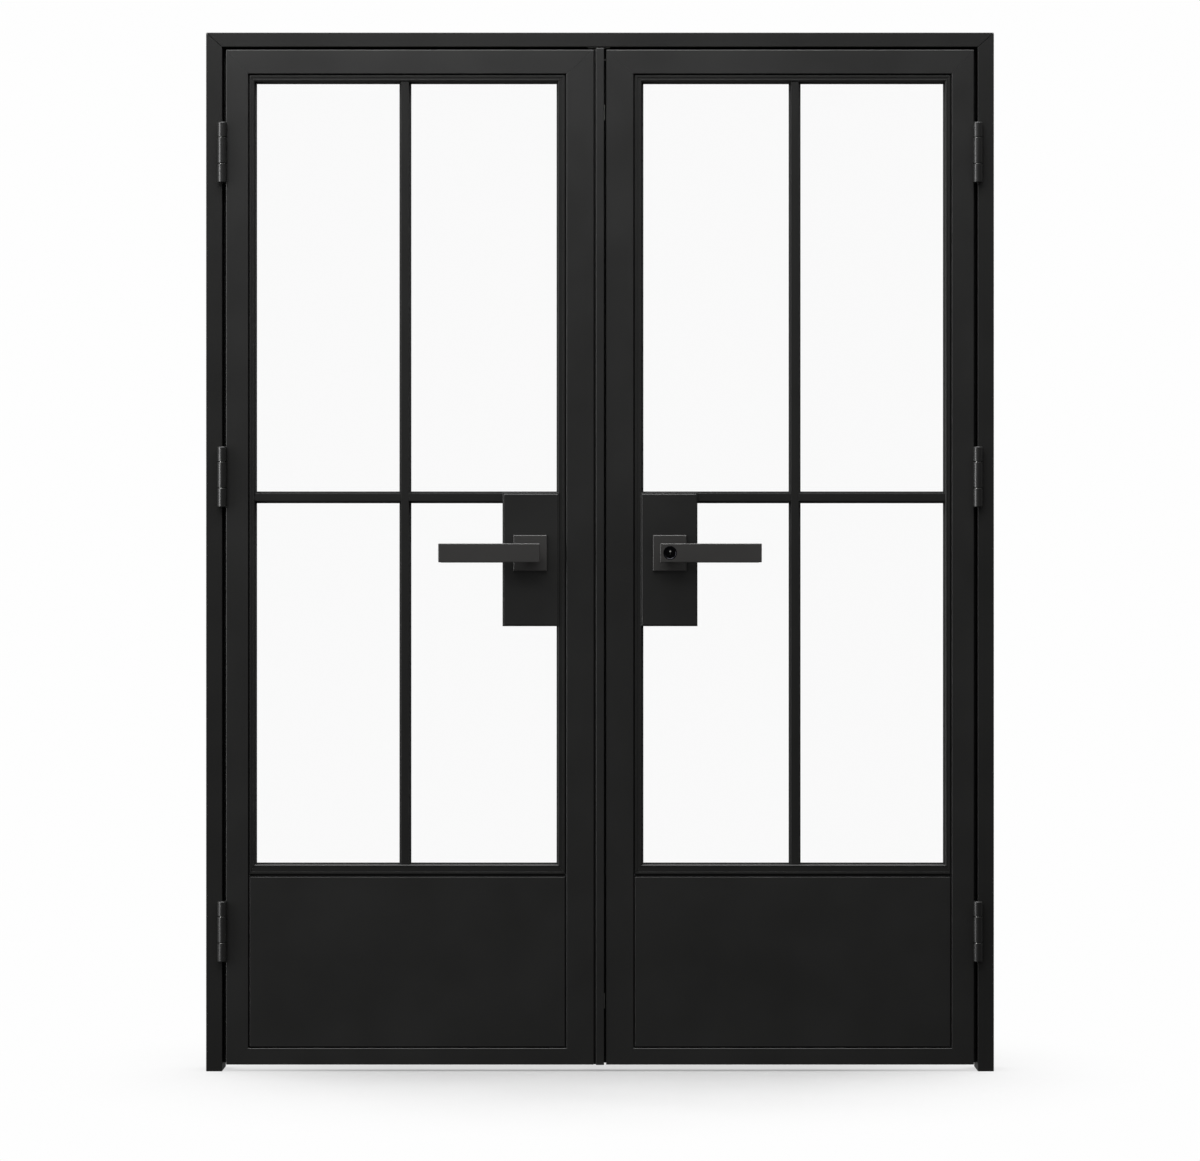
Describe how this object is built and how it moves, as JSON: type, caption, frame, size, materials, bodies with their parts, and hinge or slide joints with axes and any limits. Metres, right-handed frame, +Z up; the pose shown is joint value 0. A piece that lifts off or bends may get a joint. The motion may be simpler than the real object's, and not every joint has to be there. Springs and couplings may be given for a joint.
{
  "type": "french doors",
  "caption": "Black steel french doors in a three-sided frame: two glazed leaves with muntins over a kick panel, flat bar levers, astragal and barrel hinges.",
  "frame": {"origin": "floor level, midway between the jambs, on the leaves' middle plane", "axes": "+X to the right seen from outside, +Y into the building, +Z up"},
  "size_m": [1.56, 0.169, 2.057],
  "materials": {
    "black_coat": "satin black powder coat on steel",
    "lever_coat": "satin black plated lever set",
    "black_cylinder": "gloss black plated cylinder",
    "bare_steel": "zinc plated steel",
    "rubber": "matte black EPDM",
    "nylon": "black nylon",
    "glass": "clear tempered float glass"
  },
  "bodies": {
    "frame": {"left_jamb": "black_coat", "right_jamb": "black_coat", "head_jamb": "black_coat", "frame_stops": "black_coat", "frame_seals": "rubber", "left_hinge_jamb_plates": "black_coat", "right_hinge_jamb_plates": "black_coat", "hinge_pins": "bare_steel", "frame_screws": "bare_steel", "head_keeper": "bare_steel"},
    "left_leaf": {"left_hinge_stile": "black_coat", "left_meeting_stile": "black_coat", "left_top_rail": "black_coat", "left_bottom_rail": "black_coat", "left_mid_rail": "black_coat", "left_glazing_beads": "black_coat", "left_vertical_muntin": "black_coat", "left_horizontal_muntins": "black_coat", "left_glass_panes": "glass", "left_glazing_gaskets": "rubber", "left_kick_panels": "black_coat", "left_lock_box": "black_coat", "left_lock_plates": "black_coat", "left_hinge_leaf_plates": "black_coat", "left_roses": "lever_coat", "left_leaf_screws": "bare_steel", "astragal": "black_coat", "astragal_flange": "black_coat", "astragal_seal": "rubber", "strike_plate": "bare_steel", "bolt_guides": "nylon"},
    "right_leaf": {"right_hinge_stile": "black_coat", "right_meeting_stile": "black_coat", "right_top_rail": "black_coat", "right_bottom_rail": "black_coat", "right_mid_rail": "black_coat", "right_glazing_beads": "black_coat", "right_vertical_muntin": "black_coat", "right_horizontal_muntins": "black_coat", "right_glass_panes": "glass", "right_glazing_gaskets": "rubber", "right_kick_panels": "black_coat", "right_lock_box": "black_coat", "right_lock_plates": "black_coat", "right_hinge_leaf_plates": "black_coat", "right_roses": "lever_coat", "right_leaf_screws": "bare_steel", "latch_case": "bare_steel"},
    "left_lever": {"left_outside_lever": "lever_coat", "left_inside_lever": "lever_coat", "left_lever_spindle": "bare_steel"},
    "right_lever": {"right_outside_lever": "lever_coat", "right_inside_lever": "lever_coat", "right_lever_spindle": "bare_steel", "key_cylinder": "black_cylinder"},
    "latch": {"latch_bolt": "bare_steel"},
    "key_plug": {"key_plug": "black_cylinder"},
    "thumb_turn": {"thumb_turn": "lever_coat"},
    "top_bolt": {"top_flush_bolt": "bare_steel"},
    "bottom_bolt": {"bottom_flush_bolt": "bare_steel"}
  },
  "joints": [
    {"name": "left_leaf_swing", "type": "hinge", "parent": "frame", "child": "left_leaf", "pos_m": [-0.7476, -0.0325, 0], "axis": [0, 0, -1], "range_deg": [0, 170]},
    {"name": "right_leaf_swing", "type": "hinge", "parent": "frame", "child": "right_leaf", "pos_m": [0.7476, -0.0325, 0], "axis": [0, 0, 1], "range_deg": [0, 170]},
    {"name": "left_lever_turn", "type": "hinge", "parent": "left_leaf", "child": "left_lever", "pos_m": [-0.138, 0, 1.0263], "axis": [0, -1, 0], "range_deg": [0, 45], "stiffness_Nm_per_rad": 1.5, "springref_deg": -85.94},
    {"name": "right_lever_turn", "type": "hinge", "parent": "right_leaf", "child": "right_lever", "pos_m": [0.138, 0, 1.0263], "axis": [0, 1, 0], "range_deg": [0, 45], "stiffness_Nm_per_rad": 1.5, "springref_deg": -85.94},
    {"name": "latch_draw", "type": "slide", "parent": "right_leaf", "child": "latch", "axis": [1, 0, 0], "range_m": [0, 0.0127]},
    {"name": "key_turn", "type": "hinge", "parent": "right_lever", "child": "key_plug", "pos_m": [0.138, -0.07, 1.0263], "axis": [0, 1, 0], "range_deg": [0, 90]},
    {"name": "thumb_turn_turn", "type": "hinge", "parent": "right_lever", "child": "thumb_turn", "pos_m": [0.138, 0.07, 1.0263], "axis": [0, 1, 0], "range_deg": [0, 90]},
    {"name": "top_bolt_slide", "type": "slide", "parent": "left_leaf", "child": "top_bolt", "axis": [0, 0, 1], "range_m": [0, 0.018]},
    {"name": "bottom_bolt_slide", "type": "slide", "parent": "left_leaf", "child": "bottom_bolt", "axis": [0, 0, -1], "range_m": [0, 0.018]}
  ],
  "couplings": [
    {"joint": "latch_draw", "follows": "right_lever_turn", "m_per_rad": 0.01616}
  ]
}
